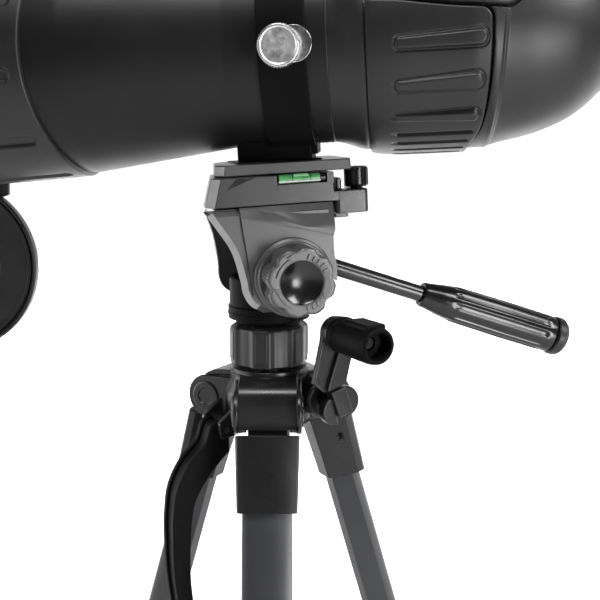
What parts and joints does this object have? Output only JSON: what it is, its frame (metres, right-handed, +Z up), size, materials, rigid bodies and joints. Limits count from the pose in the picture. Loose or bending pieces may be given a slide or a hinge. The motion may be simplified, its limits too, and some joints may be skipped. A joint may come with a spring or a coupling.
{
  "type": "spotting scope",
  "caption": "Spotting scope with rubber armoured objective hood, side collar screw and zoom eyepiece, carried on a pan and tilt head with a long grip and a folding tripod with a crank column.",
  "frame": {"origin": "centre of the bounding box on the ground under the feet", "axes": "+Z up; the scope points its objective to -X and its eyepiece to +X; one leg and the tilt knob face -Y"},
  "size_m": [0.4968, 0.2538, 0.6497],
  "materials": {
    "armour": "fine grained black armour",
    "barrel": "matte black lacquer",
    "moulding": "semi-gloss black moulding",
    "head_moulding": "satin black moulding",
    "grip": "black rubber",
    "tube": "satin gunmetal anodised",
    "inner_tube": "satin anodised",
    "rod": "black lacquered steel",
    "steel": "plated, knurled",
    "lens": "coated optical glass",
    "vial": "clear green liquid vial"
  },
  "bodies": {
    "stand_hub": {"hub": "moulding", "front_leg_pin": "steel", "right_leg_pin": "steel", "left_leg_pin": "steel"},
    "column_lock": {"column_lock_collar": "grip"},
    "column": {"center_column": "inner_tube"},
    "pan_head": {"pan_base": "moulding"},
    "tilt_head": {"tilt_body": "head_moulding", "platform": "moulding", "bubble_vial": "vial", "tilt_axle": "steel"},
    "tilt_knob": {"tilt_lock_knob": "grip"},
    "release": {"release_knob": "moulding"},
    "pan_handle": {"handle_rod": "rod", "handle_grip": "moulding", "grip_end_cap": "grip"},
    "plate": {"quick_release_plate": "head_moulding", "plate_pad": "grip", "plate_screw": "steel", "tripod_collar": "moulding", "thumbscrew_washer": "steel"},
    "thumbscrew": {"collar_thumbscrew": "steel"},
    "scope_body": {"objective_housing": "armour", "objective_cell": "head_moulding", "objective_lens": "lens", "main_barrel": "barrel", "rear_housing": "armour", "rear_armour": "armour", "prism_block": "lens", "eyepiece_barrel": "moulding", "eye_lens": "lens"},
    "focus": {"focus_knob": "grip"},
    "focus_slide": {"focus_cell": "head_moulding"},
    "zoom": {"zoom_ring": "grip"},
    "eye_cup": {"eyecup": "grip"},
    "cap": {"lens_cap": "grip", "cap_strap": "grip"},
    "crank": {"crank_shaft": "steel", "crank_arm": "head_moulding"},
    "crank_grip": {"crank_knob": "grip"},
    "carry": {"carry_handle": "moulding"},
    "front_leg": {"front_leg_bracket": "head_moulding", "front_leg_upper": "tube", "front_leg_clamp": "moulding"},
    "front_extension": {"front_leg_lower": "inner_tube", "front_leg_foot": "grip"},
    "front_clamp_lever": {"front_leg_lever": "grip"},
    "right_leg": {"right_leg_bracket": "head_moulding", "right_leg_upper": "tube", "right_leg_clamp": "moulding"},
    "right_extension": {"right_leg_lower": "inner_tube", "right_leg_foot": "grip"},
    "right_clamp_lever": {"right_leg_lever": "grip"},
    "left_leg": {"left_leg_bracket": "head_moulding", "left_leg_upper": "tube", "left_leg_clamp": "moulding"},
    "left_extension": {"left_leg_lower": "inner_tube", "left_leg_foot": "grip"},
    "left_clamp_lever": {"left_leg_lever": "grip"}
  },
  "joints": [
    {"name": "column_lock_turn", "type": "hinge", "parent": "stand_hub", "child": "column_lock", "pos_m": [0.00425, 0.0347, 0.41], "axis": [0, 0, 1], "range_deg": [0, 60]},
    {"name": "column_lift", "type": "slide", "parent": "stand_hub", "child": "column", "axis": [0, 0, 1], "range_m": [0, 0.14]},
    {"name": "pan_turn", "type": "hinge", "parent": "column", "child": "pan_head", "pos_m": [0.00425, 0.0347, 0.44], "axis": [0, 0, 1], "continuous": true},
    {"name": "head_tilt", "type": "hinge", "parent": "pan_head", "child": "tilt_head", "pos_m": [0.01107, 0.03628, 0.456], "axis": [-0.225, 0.9744, 0], "range_deg": [-35, 40]},
    {"name": "tilt_lock_turn", "type": "hinge", "parent": "tilt_head", "child": "tilt_knob", "pos_m": [0.02007, -0.0027, 0.456], "axis": [0.225, -0.9744, 0], "range_deg": [0, 180]},
    {"name": "plate_release_turn", "type": "hinge", "parent": "tilt_head", "child": "release", "pos_m": [0.04955, 0.03182, 0.50498], "axis": [-0.051, -0.0118, 0.9986], "range_deg": [0, 90]},
    {"name": "handle_twist", "type": "hinge", "parent": "tilt_head", "child": "pan_handle", "pos_m": [0.04421, 0.04392, 0.45473], "axis": [0.9235, 0.2132, -0.319], "range_deg": [0, 270]},
    {"name": "plate_lift", "type": "slide", "parent": "tilt_head", "child": "plate", "axis": [-0.051, -0.0118, 0.9986], "range_m": [0, 0.02]},
    {"name": "thumbscrew_turn", "type": "hinge", "parent": "plate", "child": "thumbscrew", "pos_m": [0.0114, -0.02108, 0.56669], "axis": [-0.0867, -0.9961, -0.0162], "range_deg": [0, 270]},
    {"name": "scope_roll", "type": "hinge", "parent": "plate", "child": "scope_body", "pos_m": [0.01024, 0.03418, 0.57029], "axis": [0.9949, -0.0874, 0.0498], "range_deg": [-90, 90]},
    {"name": "focus_turn", "type": "hinge", "parent": "scope_body", "child": "focus", "pos_m": [0.09474, 0.02578, 0.63459], "axis": [-0.051, -0.0118, 0.9986], "range_deg": [-360, 360]},
    {"name": "focus_travel", "type": "slide", "parent": "scope_body", "child": "focus_slide", "axis": [0.9949, -0.0874, 0.0498], "range_m": [-0.0062, 0.0062]},
    {"name": "zoom_turn", "type": "hinge", "parent": "scope_body", "child": "zoom", "pos_m": [0.19928, 0.01757, 0.57975], "axis": [0.9949, -0.0874, 0.0498], "range_deg": [0, 120]},
    {"name": "eyecup_extend", "type": "slide", "parent": "scope_body", "child": "eye_cup", "axis": [0.9949, -0.0874, 0.0498], "range_m": [0, 0.008]},
    {"name": "cap_swing", "type": "hinge", "parent": "scope_body", "child": "cap", "pos_m": [-0.19239, 0.12264, 0.53695], "axis": [0, 1, 0], "range_deg": [-40, 40]},
    {"name": "crank_turn", "type": "hinge", "parent": "stand_hub", "child": "crank", "pos_m": [0.03863, 0.00836, 0.391], "axis": [0.5, -0.866, 0], "range_deg": [-150, 45]},
    {"name": "crank_grip_spin", "type": "hinge", "parent": "crank", "child": "crank_grip", "pos_m": [0.04863, -0.00896, 0.428], "axis": [0.5, -0.866, 0], "continuous": true},
    {"name": "carry_swing", "type": "hinge", "parent": "stand_hub", "child": "carry", "pos_m": [-0.0226, 0.0192, 0.376], "axis": [-0.5, 0.866, 0], "range_deg": [0, 60]},
    {"name": "front_leg_fold", "type": "hinge", "parent": "stand_hub", "child": "front_leg", "pos_m": [0.00425, 0.0057, 0.388], "axis": [1, 0, 0], "range_deg": [0, 17]},
    {"name": "front_leg_extend", "type": "slide", "parent": "front_leg", "child": "front_extension", "axis": [0, -0.3007, -0.9537], "range_m": [0, 0.16]},
    {"name": "front_lever_open", "type": "hinge", "parent": "front_leg", "child": "front_clamp_lever", "pos_m": [0.00425, -0.10749, 0.07558], "axis": [1, 0, 0], "range_deg": [0, 110]},
    {"name": "right_leg_fold", "type": "hinge", "parent": "stand_hub", "child": "right_leg", "pos_m": [0.02936, 0.0492, 0.388], "axis": [-0.5, 0.866, 0], "range_deg": [0, 17]},
    {"name": "right_leg_extend", "type": "slide", "parent": "right_leg", "child": "right_extension", "axis": [0.2604, 0.1504, -0.9537], "range_m": [0, 0.16]},
    {"name": "right_lever_open", "type": "hinge", "parent": "right_leg", "child": "right_clamp_lever", "pos_m": [0.12739, 0.10579, 0.07558], "axis": [-0.5, 0.866, 0], "range_deg": [0, 110]},
    {"name": "left_leg_fold", "type": "hinge", "parent": "stand_hub", "child": "left_leg", "pos_m": [-0.02087, 0.0492, 0.388], "axis": [-0.5, -0.866, 0], "range_deg": [0, 17]},
    {"name": "left_leg_extend", "type": "slide", "parent": "left_leg", "child": "left_extension", "axis": [-0.2604, 0.1504, -0.9537], "range_m": [0, 0.16]},
    {"name": "left_lever_open", "type": "hinge", "parent": "left_leg", "child": "left_clamp_lever", "pos_m": [-0.11889, 0.10579, 0.07558], "axis": [-0.5, -0.866, 0], "range_deg": [0, 110]}
  ],
  "couplings": [
    {"joint": "focus_turn", "follows": "focus_travel", "rad_per_m": 1000}
  ]
}
